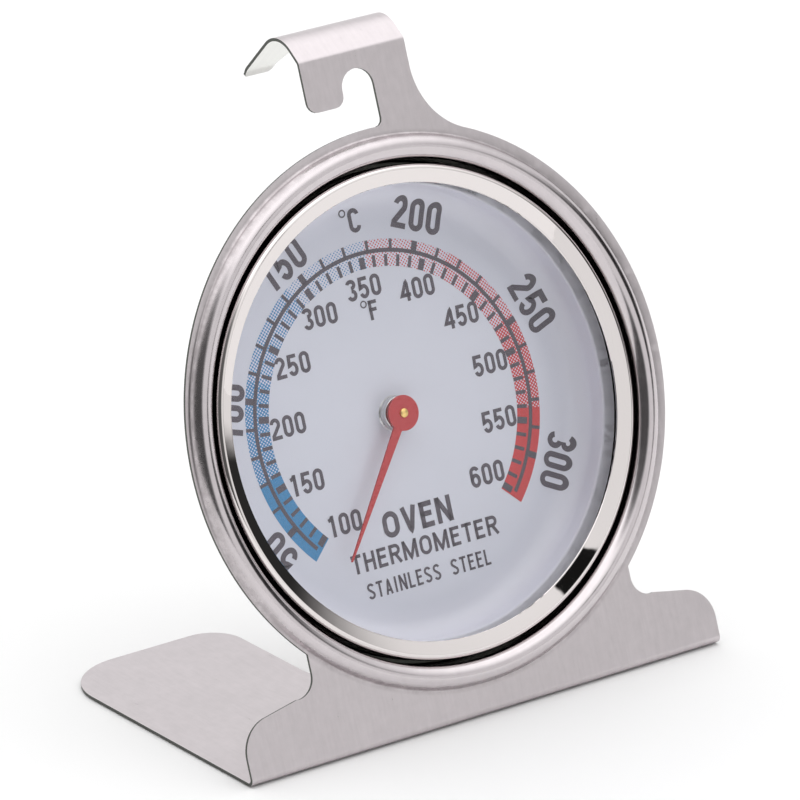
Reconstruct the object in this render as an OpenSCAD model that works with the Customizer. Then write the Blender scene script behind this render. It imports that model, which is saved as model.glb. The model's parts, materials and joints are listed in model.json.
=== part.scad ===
// Oven thermometer: a dial capsule held in a folded sheet-metal stand with a hanging hook.
// +X right, +Y back, +Z up; origin on the underside of the foot, in the middle of its front web.

/* [Stand] */
// Thickness of the stand sheet
sheet_t = 0.35; // [0.3:0.05:0.5]
// Backward lean of the front plate from vertical, degrees
lean = 18.2; // [17:0.1:22]
// Full width of the foot and of the two wings
base_w = 60.9; // [60:0.1:62]
// Depth of the foot from the front fold to its back edge
foot_d = 37.9; // [36:0.1:39]
// Width of the central notch in the foot
notch_w = 18; // [16:0.2:20]
// Outer radius of the front fold
fold_r = 0.8; // [0.7:0.05:1]
// Height of the ring centre above the fold, along the plate
ring_h = 32.9; // [32.5:0.1:33.5]
// Outer radius of the ring flange
ring_r = 30; // [29.8:0.1:30.5]
// Radius of the forward bead across its section
bead_r = 1.3; // [1.2:0.05:1.4]

/* [Hook] */
// Height of the hook crease above the ring centre, along the plate
crease_h = 38.2; // [38:0.1:40]
// Width of the hook
hook_w = 13.4; // [12.8:0.1:14]
// Width of the hanging slot and of the notch in the lip
slot_w = 4; // [3.6:0.1:4.4]
// Outer radius of the arch
arch_r = 3.6; // [3.4:0.1:3.8]

/* [Capsule] */
// Outer radius of the bezel
bezel_r = 26.1; // [26:0.05:26.2]
// Radius of the clear glass inside the bezel
sight_r = 24.1; // [23.8:0.05:24.2]
// Thickness of the glass
lens_t = 2; // [1.8:0.1:2.1]
// Thickness of the bezel, dial and case sheet
cup_t = 0.4; // [0.35:0.05:0.45]
// Outer radius of the rear case
case_r = 24.9; // [24.85:0.05:25]
// Depth of the rear case behind the ring flange
case_b = 11.7; // [11.6:0.05:12]
// Corner radius of the rear case
case_round = 5; // [4:0.5:6]

/* [Movement] */
// Depth of the dial face behind the ring flange
dial_b = 6.5; // [6.4:0.05:6.55]
// Length of the pointer from the spindle to its tip
pointer_l = 16.95; // [15:0.05:18]
// Angle of the pointer at room temperature, clockwise from top
pointer_rest = -143.6; // [-160:0.1:-132]
// Radius of the spindle
spindle_r = 0.5; // [0.45:0.05:0.55]
// Radial running clearance of the spindle in its bearings
run_gap = 0.05; // [0.04:0.01:0.08]
// Thickness of the bimetal strip
coil_t = 0.3; // [0.25:0.05:0.35]
// Growth of the coil radius in each half turn
coil_step = 0.65; // [0.6:0.05:0.65]

/* [Hidden] */
$fn = 128;
web_y = -5.5;
lap = 0.02;
half_w = base_w / 2;
foot_r = 7.4;
notch_end = 13.7;
notch_r = 4;
wing_r = 3.8;
wing_p = 3.1;
waist_x = 22.9;
waist_p = 9.8;
waist_r = 2.2;
fold_tan = fold_r / tan((90 - lean) / 2);
collar_r = ring_r - 0.8 - 2 * bead_r;
bead_c = collar_r + bead_r;
neck_x = 6.4;
tab_x = neck_x - hook_w;
slot_x = -0.4;
slot_p = 34.5;
tab_p = 32.9;
tab_r = 1.2;
fillet_r = 8.4;
fillet_x = neck_x + fillet_r;
flange_x = 0.4;
flange_y = 0.3;
blend = 0.06;
fillet_p = sqrt(pow(ring_r + fillet_r - blend, 2) - pow(fillet_x, 2));
slot_right = slot_x + slot_w / 2;
web_r = 0.8;
web_p = sqrt(pow(ring_r + web_r - blend, 2) - pow(slot_right - web_r, 2));
gasket_t = 0.2;
lens_b = 0.35 + gasket_t;
rim_b = lens_b + lens_t;
seal_b = rim_b + cup_t;
flange_b = seal_b + 0.3;
crimp_b = flange_b + cup_t;
seat_b = crimp_b + cup_t;
dial_wall = sight_r - 0.1;
dial_round = 2.2;
case_in = case_b - cup_t;
boss_r = 1.85;
pointer_b = 4.65;
pointer_t = 0.25;
hub_b = pointer_b + pointer_t;
bush_b = 5.35;
collet_r = 1.6;
coil_b = 8;
coil_w = 2.2;
coil_n = 11;
coil_in = collet_r + (coil_n - 1) * coil_step;
coil_end = coil_in + coil_t;
tail = 1.2;
rivet_y = -0.6;
bracket_b = 10.5;
bracket_t = 0.35;
bracket_x = 12.3;
rivet_x = 11.2;

stand_steel = [0.74, 0.72, 0.72];
bright_steel = [0.88, 0.86, 0.85];
brass = [0.85, 0.7, 0.35];

// Plate frame: X right, Y back through the sheet, Z up along the leaning plate, zero at the fold.
module on_plate() {
    translate([0, web_y, 0]) rotate([-lean, 0, 0]) children();
}

// Dial frame: Z forward out of the dial, Y up along the plate, zero at the ring centre.
module on_axis() {
    on_plate() translate([0, 0, ring_h]) rotate([90, 0, 0]) children();
}

// Ring of rectangular section from depth b1 to depth b2 behind the flange plane.
module band(r1, r2, b1, b2) {
    translate([0, 0, -b2]) difference() {
        cylinder(r = r2, h = b2 - b1);
        translate([0, 0, -1]) cylinder(r = r1, h = b2 - b1 + 2);
    }
}

module disc(r, b1, b2) {
    translate([0, 0, -b2]) cylinder(r = r, h = b2 - b1);
}

module wedge(a1, a2, far) {
    polygon([[0, 0], [far * cos(a1), far * sin(a1)],
        [far * cos((a1 + a2) / 2) * 1.3, far * sin((a1 + a2) / 2) * 1.3],
        [far * cos(a2), far * sin(a2)]]);
}

module arc2(r_in, r_out, a1, a2) {
    intersection() {
        difference() {
            circle(r = r_out);
            circle(r = r_in);
        }
        wedge(a1, a2, r_out * 1.6);
    }
}

// Front plate outline: wings, waist, ring, neck, tab and slot, heights from the fold.
module plate_outline() {
    difference() {
        union() {
            wings();
            translate([flange_x, ring_h + flange_y]) {
                circle(r = ring_r);
                neck();
            }
        }
        translate([0, ring_h]) circle(r = bead_c + bead_r - sheet_t / 2);
    }
}

module wings() {
    difference() {
        union() {
            polygon([[-half_w, fold_tan - lap], [half_w, fold_tan - lap], [half_w, wing_p],
                [half_w - wing_r, wing_p + wing_r], [waist_x, waist_p - waist_r],
                [-waist_x, waist_p - waist_r], [wing_r - half_w, wing_p + wing_r], [-half_w, wing_p]]);
            for (s = [-1, 1]) translate([s * (half_w - wing_r), wing_p]) circle(r = wing_r);
            translate([-waist_x, 7]) square([2 * waist_x, waist_p - 7]);
            translate([waist_r - waist_x, waist_p - 0.1]) square([2 * (waist_x - waist_r), 2.4]);
        }
        for (s = [-1, 1]) translate([s * waist_x, waist_p]) circle(r = waist_r);
        translate([-half_w - 1, -2]) square([base_w + 2, 2 + fold_tan - lap]);
    }
}

module neck() {
    difference() {
        polygon([[slot_right, 28], [slot_right, crease_h + lap], [neck_x, crease_h + lap], [neck_x, fillet_p],
            [fillet_x, fillet_p], [0.77 * fillet_x, 0.77 * fillet_p], [8, 27]]);
        translate([fillet_x, fillet_p]) circle(r = fillet_r);
    }
    difference() {
        translate([slot_right - web_r, 29.4]) square([web_r + 0.1, web_p - 29.4]);
        translate([slot_right - web_r, web_p]) circle(r = web_r);
    }
    difference() {
        translate([tab_x, tab_p + tab_r]) square([hook_w, crease_h - tab_p - tab_r + lap]);
        translate([slot_x, slot_p]) circle(r = slot_w / 2);
        translate([slot_x - slot_w / 2, tab_p]) square([slot_w, slot_p - tab_p]);
    }
    translate([tab_x, tab_p]) {
        translate([0, tab_r]) square([slot_x - slot_w / 2 - tab_x, 0.3]);
        translate([tab_r, 0]) square([slot_x - slot_w / 2 - tab_x - 2 * tab_r, tab_r + 0.1]);
        for (x = [tab_r, slot_x - slot_w / 2 - tab_x - tab_r]) translate([x, tab_r]) circle(r = tab_r);
    }
}

// Side profile of the hook above the crease: X back, Y up along the plate.
module turn(r_out, a) {
    translate([r_out, 0]) {
        arc2(r_out - sheet_t, r_out, 180 - a, 180);
        rotate(-a) translate([-r_out, 0]) children();
    }
}

module run(l) {
    translate([0, -lap]) square([sheet_t, l + 2 * lap]);
    translate([0, l]) children();
}

module hook_profile() {
    turn(0.7, 36) run(1.6) turn(arch_r, 80) run(5.1) turn(2, 20) run(0.6);
}

module hook() {
    difference() {
        translate([tab_x, 0, crease_h]) rotate([90, 0, 90])
            linear_extrude(hook_w) hook_profile();
        translate([tab_x, 0, crease_h - 6]) linear_extrude(8)
            polygon([[3.1, 11.6], [4.9, 7.9], [hook_w - 4.9, 7.9], [hook_w - 3.1, 11.6]]);
    }
}

module ring_section() {
    difference() {
        translate([bead_c, -0.1]) circle(r = bead_r);
        translate([bead_c, -0.1]) circle(r = bead_r - sheet_t);
        translate([bead_c - 3, -3.1]) square([6, 3]);
    }
    translate([collar_r + 2 * bead_r - sheet_t, -sheet_t]) square([sheet_t + 0.2, sheet_t]);
    translate([collar_r, -seat_b - sheet_t]) square([sheet_t, seat_b + sheet_t - 0.1]);
    translate([case_r + 0.15, -seat_b - sheet_t]) square([collar_r + sheet_t - case_r - 0.15, sheet_t]);
}

module foot() {
    linear_extrude(sheet_t) difference() {
        union() {
            translate([-half_w, fold_tan - lap]) square([base_w, foot_d - foot_r - fold_tan + lap]);
            translate([foot_r - half_w, 10]) square([base_w - 2 * foot_r, foot_d - 10]);
            for (s = [-1, 1]) translate([s * (half_w - foot_r), foot_d - foot_r]) circle(r = foot_r);
        }
        translate([0, notch_end + notch_w / 2]) circle(r = notch_w / 2);
        translate([-notch_w / 2, notch_end + notch_w / 2]) square([notch_w, foot_d]);
        for (s = [-1, 1]) difference() {
            translate([s * (notch_w + notch_r - 0.1) / 2 - notch_r / 2 - 0.05, foot_d - notch_r])
                square([notch_r + 0.1, notch_r + 0.5]);
            translate([s * (notch_w / 2 + notch_r), foot_d - notch_r]) circle(r = notch_r);
        }
    }
}

module fold() {
    translate([-half_w, fold_tan, fold_r]) rotate([90, 0, 90])
        linear_extrude(base_w) arc2(fold_r - sheet_t, fold_r, 180 - lean, 270);
}

module stand() {
    color(stand_steel) union() {
        on_plate() {
            translate([0, sheet_t, 0]) rotate([90, 0, 0]) linear_extrude(sheet_t) plate_outline();
            translate([flange_x, 0, ring_h + flange_y]) hook();
        }
        on_axis() rotate_extrude() ring_section();
        translate([0, web_y, 0]) {
            foot();
            fold();
        }
    }
}

module rear_case() {
    color(bright_steel) on_axis() difference() {
        union() {
            band(case_r - cup_t, case_r, flange_b, case_b - case_round);
            band(case_r - cup_t, bezel_r - cup_t - 0.1, flange_b, crimp_b);
            rotate_extrude() translate([case_r - case_round, case_round - case_b])
                arc2(case_round - cup_t, case_round, 270, 360);
            disc(case_r - case_round, case_in, case_b);
        }
        for (a = [45:90:315]) rotate(a) translate([15, 0, -case_b - 1]) cylinder(r = 1, h = 3);
        for (s = [-1, 1]) translate([s * rivet_x, 0, -case_b - 1]) cylinder(r = 0.7, h = 3);
    }
}

module bezel() {
    color(bright_steel) on_axis() rotate_extrude() {
        translate([bezel_r - 0.6, 0]) arc2(0.6 - cup_t, 0.6, 0, 90);
        polygon([[bezel_r - 0.6, 0.6], [sight_r, -0.05], [sight_r, -0.35], [sight_r + 0.3, -0.35],
            [bezel_r - 0.6, 0.6 - cup_t]]);
        translate([bezel_r - cup_t, -seat_b]) square([cup_t, seat_b]);
        translate([case_r + 0.1, -seat_b]) square([bezel_r - case_r - 0.1, cup_t]);
    }
}

module lens() {
    color([0.8, 0.88, 0.9, 0.4]) on_axis() disc(bezel_r - cup_t - 0.2, lens_b, rim_b);
}

module lens_gasket() {
    color([0.25, 0.25, 0.25]) on_axis() band(sight_r + 0.3, bezel_r - cup_t - 0.3, lens_b - gasket_t, lens_b);
}

module rim_gasket() {
    color([0.25, 0.25, 0.25]) on_axis() band(dial_wall + cup_t + 0.1, bezel_r - cup_t - 0.2, seal_b, flange_b);
}

module dial() {
    color([0.85, 0.86, 0.9]) on_axis() {
        band(1.2, dial_wall - dial_round, dial_b, dial_b + cup_t);
        rotate_extrude() translate([dial_wall - dial_round, dial_round - dial_b])
            arc2(dial_round, dial_round + cup_t, 270, 360);
        band(dial_wall, dial_wall + cup_t, rim_b, dial_b - dial_round);
        band(dial_wall, bezel_r - cup_t - 0.2, rim_b, seal_b);
    }
}

module dial_bush() {
    color([0.8, 0.8, 0.8]) on_axis() difference() {
        union() {
            disc(boss_r, bush_b, dial_b);
            disc(1.2, dial_b, dial_b + cup_t);
            disc(1.7, dial_b + cup_t, dial_b + cup_t + 0.4);
        }
        translate([0, 0, -9]) cylinder(r = spindle_r + run_gap, h = 9);
    }
}

module thrust_washer() {
    color(bright_steel) on_axis() band(spindle_r + run_gap, 1.5, dial_b + cup_t + 0.4, dial_b + cup_t + 0.5);
}

module spindle() {
    color(brass) on_axis() {
        disc(spindle_r, 4.4, 7.5);
        disc(spindle_r - 0.12, 7.5, 7.75);
        disc(spindle_r, 7.75, 11);
    }
}

module spindle_clip() {
    color(bright_steel) on_axis() difference() {
        band(spindle_r - 0.12, 1.4, 7.5, 7.75);
        translate([-0.25, 0, -8]) cube([0.5, 2, 1]);
    }
}

module pointer() {
    color([0.75, 0.15, 0.15]) on_axis() rotate(-pointer_rest) translate([0, 0, -hub_b])
        linear_extrude(pointer_t) difference() {
            union() {
                circle(r = 1.9);
                polygon([[-0.75, 0], [0.75, 0], [0.14, pointer_l], [-0.14, pointer_l]]);
            }
            circle(r = spindle_r);
        }
}

module pointer_hub() {
    color([0.8, 0.8, 0.8]) on_axis() band(spindle_r, 1, hub_b, hub_b + 0.35);
}

module bimetal_coil() {
    color([0.62, 0.6, 0.56]) on_axis() difference() {
        union() {
            for (k = [0:coil_n - 1])
                translate([k % 2 == 0 ? 0 : coil_step, 0, -coil_b - coil_w]) rotate(k % 2 == 0 ? 0 : 180)
                    rotate_extrude(angle = 180) translate([collet_r + k * coil_step, 0]) square([coil_t, coil_w]);
            translate([-coil_end, -tail, -coil_b - coil_w]) cube([coil_t, tail, coil_w]);
        }
        translate([-coil_end - 1, rivet_y, -coil_b - coil_w / 2]) rotate([0, 90, 0]) cylinder(r = 0.3, h = 2);
    }
}

module coil_collet() {
    color(brass) on_axis() band(spindle_r, collet_r, coil_b - 0.05, coil_b + coil_w);
}

module coil_rivet() {
    color(bright_steel) on_axis() translate([-coil_end - bracket_t, rivet_y, -coil_b - coil_w / 2])
        rotate([0, 90, 0]) {
            cylinder(r = 0.3, h = bracket_t + coil_t);
            translate([0, 0, -0.2]) cylinder(r = 0.55, h = 0.2);
            translate([0, 0, bracket_t + coil_t]) cylinder(r = 0.55, h = 0.15);
        }
}

module movement_bracket() {
    color([0.7, 0.7, 0.7]) on_axis() difference() {
        union() {
            translate([-10, -2.2, -bracket_b - bracket_t]) cube([20, 4.4, bracket_t]);
            for (s = [-1, 1]) {
                translate([s * 9.825 - 0.175, -2.2, -case_in]) cube([0.35, 4.4, case_in - bracket_b]);
                translate([s * (bracket_x + 9.65) / 2 - (bracket_x - 9.65) / 2, -2.2, -case_in])
                    cube([bracket_x - 9.65, 4.4, bracket_t]);
            }
            translate([-coil_end - bracket_t, -1.5, -bracket_b - bracket_t])
                cube([bracket_t, 1.5, bracket_b + bracket_t - coil_b]);
        }
        translate([0, 0, -12]) cylinder(r = 1.1, h = 3);
        for (s = [-1, 1]) translate([s * rivet_x, 0, -12]) cylinder(r = 0.7, h = 3);
        translate([-coil_end - 1, rivet_y, -coil_b - coil_w / 2]) rotate([0, 90, 0]) cylinder(r = 0.3, h = 2);
    }
}

module bracket_rivets() {
    color(bright_steel) on_axis() for (s = [-1, 1]) translate([s * rivet_x, 0, 0]) {
        disc(0.7, case_in - bracket_t, case_b);
        disc(1.1, case_in - bracket_t - 0.3, case_in - bracket_t);
        disc(1.4, case_b, case_b + 0.35);
    }
}

module rear_bearing() {
    color(brass) on_axis() difference() {
        union() {
            disc(1.1, bracket_b - 0.15, bracket_b + bracket_t);
            disc(1.6, bracket_b + bracket_t, bracket_b + bracket_t + 0.25);
        }
        translate([0, 0, -12]) cylinder(r = spindle_r + run_gap, h = 4);
    }
}

module retaining_ring() {
    color(bright_steel) on_axis() difference() {
        band(case_r, case_r + 1.6, seat_b + sheet_t, seat_b + sheet_t + 0.8);
        rotate(180) translate([-1.5, 20, -8]) cube([3, 8, 6]);
    }
}

stand();
rear_case();
bezel();
lens();
lens_gasket();
rim_gasket();
dial();
dial_bush();
thrust_washer();
spindle();
spindle_clip();
pointer();
pointer_hub();
bimetal_coil();
coil_collet();
coil_rivet();
movement_bracket();
bracket_rivets();
rear_bearing();
retaining_ring();
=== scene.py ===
"""Looks of the oven thermometer: sheet stand, polished bezel, glass, printed dial and pointer.

Lengths are millimetres in the builders. Turned pieces and print are made in the axis frame: its origin
is where the dial's axis meets the plate's front face, x points right, y up the leaning plate and z out
of the dial. AXIS takes that frame to the part's frame, which is in metres.
"""

import json
import math

import bmesh
import bpy
import numpy as np
from mathutils import Matrix, Vector
from mathutils.geometry import delaunay_2d_cdt

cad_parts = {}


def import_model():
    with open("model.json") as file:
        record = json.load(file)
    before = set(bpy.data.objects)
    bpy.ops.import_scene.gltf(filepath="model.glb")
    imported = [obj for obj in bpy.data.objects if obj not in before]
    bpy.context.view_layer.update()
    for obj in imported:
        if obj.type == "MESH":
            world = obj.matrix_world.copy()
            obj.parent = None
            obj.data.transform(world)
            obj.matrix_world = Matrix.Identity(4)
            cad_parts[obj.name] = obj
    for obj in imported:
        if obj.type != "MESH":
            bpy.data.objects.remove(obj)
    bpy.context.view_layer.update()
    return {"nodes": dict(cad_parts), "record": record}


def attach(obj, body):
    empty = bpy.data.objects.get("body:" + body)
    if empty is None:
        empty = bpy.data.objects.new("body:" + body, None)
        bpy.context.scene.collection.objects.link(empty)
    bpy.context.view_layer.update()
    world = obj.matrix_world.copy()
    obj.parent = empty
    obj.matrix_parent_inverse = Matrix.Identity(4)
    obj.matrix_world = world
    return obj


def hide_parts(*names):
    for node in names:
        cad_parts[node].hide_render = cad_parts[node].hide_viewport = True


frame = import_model()

MM = 0.001
ROUND = 360  # steps round a large turned piece
SHARP = math.radians(35)  # edges bent more than this are shaded sharp

# The leaning plate: y of its front face at the ground, and the ring's centre up the plate from there.
LEAN = math.radians(18.2)
SIN, COS = math.sin(LEAN), math.cos(LEAN)
WEB_Y = -5.5
RING_H = 32.9
SHEET = 0.35

# Foot with two tongues and the notch between them, folded to the plate.
HALF_W = 30.45
FOOT_D = 37.9
FOOT_R = 7.4
NOTCH_HALF = 9.0
NOTCH_END = 13.7
NOTCH_R = 4.0
FOLD_R = 0.8
FOLD_TAN = FOLD_R / math.tan((math.pi / 2 - LEAN) / 2)

# Wings and waist of the plate; P is the height of a corner's centre up the plate from the ground.
WING_R = 3.8
WING_P = 3.1
WAIST_X = 22.9
WAIST_P = 9.8
WAIST_R = 2.2

# Ring flange, raised bead with a small blend at its root, collar turned back to a seat.
RING_R = 30.0
BEAD_R = 1.3
BEAD_C = 27.9
BEAD_SINK = 0.1
ROOT_R = 0.3
COLLAR_R = 26.6
SEAT_B = 4.05
SEAT_IN = 25.05
SEAT_R = 0.3

# The ring flange and hook sit a little right of and above the bead's centre.
FLANGE_X = 0.4
FLANGE_P = 0.3

# Neck, left tab and hanging slot; P is the height above the ring's centre.
CREASE = 38.2
NECK_X = 6.4
NECK_R = 8.4
TAB_X = -7.0
TAB_P = 32.9
TAB_R = 1.2
SLOT_X = -0.4
SLOT_P = 34.5
SLOT_R = 2.0
WEB_R = 0.8

# The lip's notch leaves two prongs, so wide at their tip and root, with small cut corners.
PRONG_TIP = 3.33
PRONG_ROOT = 4.9
PRONG_CUT = 0.4
PRONG_DROP = 0.25
PRONG_LEAN = 0.05
LIP_CORNER_R = 0.2
LIP_NOTCH = 2.6

# Capsule: radii, and depths behind the plate's front face.
BEZEL_R = 26.1
BEZEL_T = 0.4
BEZEL_IN = 25.0
SIGHT_R = 24.1
LENS_R = 25.45
LENS_FRONT = 0.55
LENS_BACK = 2.55
LENS_EDGE = 0.15
DIAL_B = 6.5
DIAL_T = 0.4
DIAL_WALL = 24.0
DIAL_ROUND = 2.2
DIAL_LIP = 0.25
BUSH_R = 1.2
SPINDLE_R = 0.5
POINTER_B = 4.65
POINTER_T = 0.25
POINTER_TIP = 16.95
POINTER_HALF = 0.56
POINTER_DISC = 1.9
POINTER_REST = math.radians(-143.6)

# Print: radii of the colour band and of the line along it, and how the scale turns with temperature.
PRINT_LIFT = 0.012
BAND = (15.6, 18.5)
LINE = (17.08, 17.52)
TOP_F = 350
TURN_PER_F = 0.5288
PEN_STEP = 0.12  # longest piece of a pen stroke, as a share of the letter's height
MITRE_LIMIT = 0.5

AXIS = Matrix((
    (MM, 0, 0, 0),
    (0, SIN * MM, -COS * MM, (WEB_Y + RING_H * SIN) * MM),
    (0, COS * MM, SIN * MM, RING_H * COS * MM),
    (0, 0, 0, 1),
))


# ---------- outlines ----------

def arc(cx, cy, r, a0, a1, step=0.35, ry=None):
    """Points of an arc from a0 to a1 degrees, both ends included."""
    ry = r if ry is None else ry
    count = max(3, int(abs(math.radians(a1 - a0)) * max(r, ry) / step))
    angles = [math.radians(a0 + (a1 - a0) * i / count) for i in range(count + 1)]
    return [(cx + r * math.cos(a), cy + ry * math.sin(a)) for a in angles]


def clean(loop, tiny=1e-4):
    """The loop without points that repeat the one before them."""
    return [p for i, p in enumerate(loop) if math.dist(p, loop[i - 1]) > tiny]


def circle(r, count=ROUND):
    """Points of a circle about the origin, clockwise from its top."""
    angles = [2 * math.pi * i / count for i in range(count)]
    return [(r * math.sin(a), r * math.cos(a)) for a in angles]


def inside(points, loop):
    """Even-odd test of many points against one loop."""
    x, y = points[:, 0], points[:, 1]
    hit = np.zeros(len(points), bool)
    for (x0, y0), (x1, y1) in zip(loop, loop[1:] + loop[:1]):
        if y0 != y1:
            cross = (y0 > y) != (y1 > y)
            hit ^= cross & (x < x0 + (y - y0) * (x1 - x0) / (y1 - y0))
    return hit


def fill(outline, holes=(), lines=()):
    """Triangles of an outline with holes; lines are extra edges that the mesh must follow."""
    points, edges = [], []
    for loop in [outline, *holes]:
        start = len(points)
        points += [Vector(p) for p in loop]
        edges += [(start + i, start + (i + 1) % len(loop)) for i in range(len(loop))]
    for a, b in lines:
        points += [Vector(a), Vector(b)]
        edges.append((len(points) - 2, len(points) - 1))
    verts, _, faces, *_ = delaunay_2d_cdt(points, edges, [], 0, 1e-6)
    verts = np.array([tuple(v) for v in verts])
    faces = [f for f in faces if len(f) == 3]
    centres = np.array([verts[list(f)].mean(0) for f in faces])
    keep = inside(centres, outline)
    for hole in holes:
        keep &= ~inside(centres, hole)
    faces = [f for f, kept in zip(faces, keep) if kept]
    used = sorted({i for f in faces for i in f})
    new = {old: i for i, old in enumerate(used)}
    return verts[used], [tuple(new[i] for i in f) for f in faces]


def open_edges(tris):
    """Edges that only one triangle uses, in that triangle's direction."""
    uses = {}
    for tri in tris:
        for a, b in zip(tri, tri[1:] + tri[:1]):
            uses.setdefault(frozenset((a, b)), []).append((a, b))
    return [both[0] for both in uses.values() if len(both) == 1]


# ---------- the folded sheet: its side path from the ring centre, s up the plate ----------

def bend(radius, degrees):
    """A curved part of the path: its length and its radius on the outer face."""
    return radius * math.radians(degrees), radius


UP = [
    (CREASE + FLANGE_P, 0.0),
    bend(0.7, 36),
    (1.6, 0.0),
    bend(3.6, 80),
    (5.1, 0.0),
    bend(2.0, 20),
    (0.6, 0.0),
]
DOWN = [
    (RING_H - FOLD_TAN, 0.0),
    (FOLD_R * (math.pi / 2 + LEAN), FOLD_R),
    (FOOT_D, 0.0),
]

# Places along the blank: both ends of the fold, the lip's end and the bottom of its notch.
FOLD_TOP = -DOWN[0][0]
FOLD_END = FOLD_TOP - DOWN[1][0]
TIP = sum(length for length, _ in UP) - FLANGE_P
LIP = sum(length for length, _ in UP[:4]) + LIP_NOTCH - FLANGE_P


def walk(distance, parts, heading, turn):
    """Place and heading after a distance along straight and curved parts; turn is +1 for left."""
    y, z = WEB_Y + RING_H * SIN, RING_H * COS
    for length, radius in parts:
        step = min(distance, length)
        if radius:
            after = heading + turn * step / radius
            y += turn * radius * (math.sin(after) - math.sin(heading))
            z -= turn * radius * (math.cos(after) - math.cos(heading))
            heading = after
        else:
            y += step * math.cos(heading)
            z += step * math.sin(heading)
        distance -= step
        if distance <= 0:
            break
    return y, z, heading


def bent(u, s, depth):
    """Point of the part's frame for (u, s) of the flat blank, depth behind its outer face."""
    if s >= 0:
        y, z, heading = walk(s, UP, math.pi / 2 - LEAN, -1)
    else:
        y, z, heading = walk(-s, DOWN, -math.pi / 2 - LEAN, 1)
        heading += math.pi
    return u * MM, (y + depth * math.sin(heading)) * MM, (z - depth * math.cos(heading)) * MM


def foot_s(depth):
    """Place on the blank of a line across the foot, so deep behind its front edge."""
    return FOLD_END - (depth - FOLD_TAN)


def ring_angle(x):
    """Angle on the ring flange's lower half, in degrees, at x from the middle of the plate."""
    across = x - FLANGE_X
    return math.degrees(math.atan2(-math.sqrt(RING_R ** 2 - across * across), across))


def shifted(loop):
    """A loop drawn about the ring flange's centre, as seen from the bead's centre."""
    return [(x + FLANGE_X, p + FLANGE_P) for x, p in loop]


def left_side():
    """Left tongue, wing and waist, from the notch to the ring flange."""
    back, wing = foot_s(FOOT_D), -RING_H
    return (
        arc(-NOTCH_HALF - NOTCH_R, back + NOTCH_R, NOTCH_R, 0, -90)
        + arc(FOOT_R - HALF_W, back + FOOT_R, FOOT_R, -90, -180)
        + [(-HALF_W, FOLD_END), (-HALF_W, FOLD_TOP)]
        + arc(WING_R - HALF_W, wing + WING_P, WING_R, 180, 98)
        + arc(-WAIST_X, wing + WAIST_P, WAIST_R, -98, 0)
    )


def ring_and_hook():
    """Ring flange, hanging slot, tab, lip with its notch, and neck, about the flange's centre."""
    web_x = SLOT_X + SLOT_R - WEB_R
    web_p = math.sqrt((RING_R + WEB_R) ** 2 - web_x ** 2)
    web_angle = math.degrees(math.atan2(web_p, web_x))
    neck_x = NECK_X + NECK_R
    neck_p = math.sqrt((RING_R + NECK_R) ** 2 - neck_x ** 2)
    neck_angle = math.degrees(math.atan2(neck_p, neck_x))
    slot_left, waist = SLOT_X - SLOT_R, WAIST_X - WAIST_R
    corner, drop = LIP_CORNER_R, TIP - PRONG_DROP
    return (
        arc(0, 0, RING_R, ring_angle(-waist) + 360, web_angle, 0.5)
        + arc(web_x, web_p, WEB_R, -90, 0)
        + arc(SLOT_X, SLOT_P, SLOT_R, 0, 180)
        + arc(slot_left - TAB_R, TAB_P + TAB_R, TAB_R, 0, -90)
        + arc(TAB_X + TAB_R, TAB_P + TAB_R, TAB_R, -90, -180)
        + arc(TAB_X + corner, TIP - corner, corner, 180, 90, 0.1)
        + [(TAB_X + PRONG_TIP - PRONG_CUT, TIP), (TAB_X + PRONG_TIP + PRONG_LEAN, drop)]
        + [(TAB_X + PRONG_ROOT, LIP), (NECK_X - PRONG_ROOT, LIP)]
        + [(NECK_X - PRONG_TIP - PRONG_LEAN, drop), (NECK_X - PRONG_TIP + PRONG_CUT, TIP)]
        + arc(NECK_X - corner, TIP - corner, corner, 90, 0, 0.1)
        + arc(neck_x, neck_p, NECK_R, 180, 180 + neck_angle)
        + arc(0, 0, RING_R, neck_angle, ring_angle(waist), 0.5)
    )


def right_side():
    """Right waist, wing and tongue, from the ring flange to the notch, and the notch's round end."""
    back, wing = foot_s(FOOT_D), -RING_H
    return (
        arc(WAIST_X, wing + WAIST_P, WAIST_R, 180, 278)
        + arc(HALF_W - WING_R, wing + WING_P, WING_R, 82, 0)
        + [(HALF_W, FOLD_TOP), (HALF_W, FOLD_END)]
        + arc(HALF_W - FOOT_R, back + FOOT_R, FOOT_R, 0, -90)
        + arc(NOTCH_HALF + NOTCH_R, back + NOTCH_R, NOTCH_R, -90, -180)
        + arc(0, foot_s(NOTCH_END + NOTCH_HALF), NOTCH_HALF, 0, 180)
    )


def blank():
    """Outline of the stand's flat blank, clockwise from the notch side of the left tongue."""
    return clean(left_side() + shifted(ring_and_hook()) + right_side())


def bend_lines(fold_steps=12, bend_step=0.25):
    """Edges across the blank wherever it bends, so that the bends come out round."""
    lines = []
    for i in range(fold_steps + 1):
        s = FOLD_TOP + (FOLD_END - FOLD_TOP) * i / fold_steps
        lines.append(((-HALF_W - 1, s), (HALF_W + 1, s)))
    s = 0.0
    for length, radius in UP:
        count = max(1, round(length / bend_step)) if radius else 1
        for i in range(count + 1):
            at = s + length * i / count
            if CREASE <= at < TIP + FLANGE_P - 0.01:
                lines.append(((TAB_X - 1, at), (NECK_X + 2, at)))
        s += length
    return lines


# ---------- meshes ----------

def new_object(name, mesh, body="body", replaces=(), matrix=None):
    """An object that rides a body and hides the CAD parts it stands in for."""
    obj = bpy.data.objects.new(name, mesh)
    bpy.context.scene.collection.objects.link(obj)
    if matrix is not None:
        obj.matrix_world = matrix
    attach(obj, body)
    if replaces:
        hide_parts(*replaces)
    return obj


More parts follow.
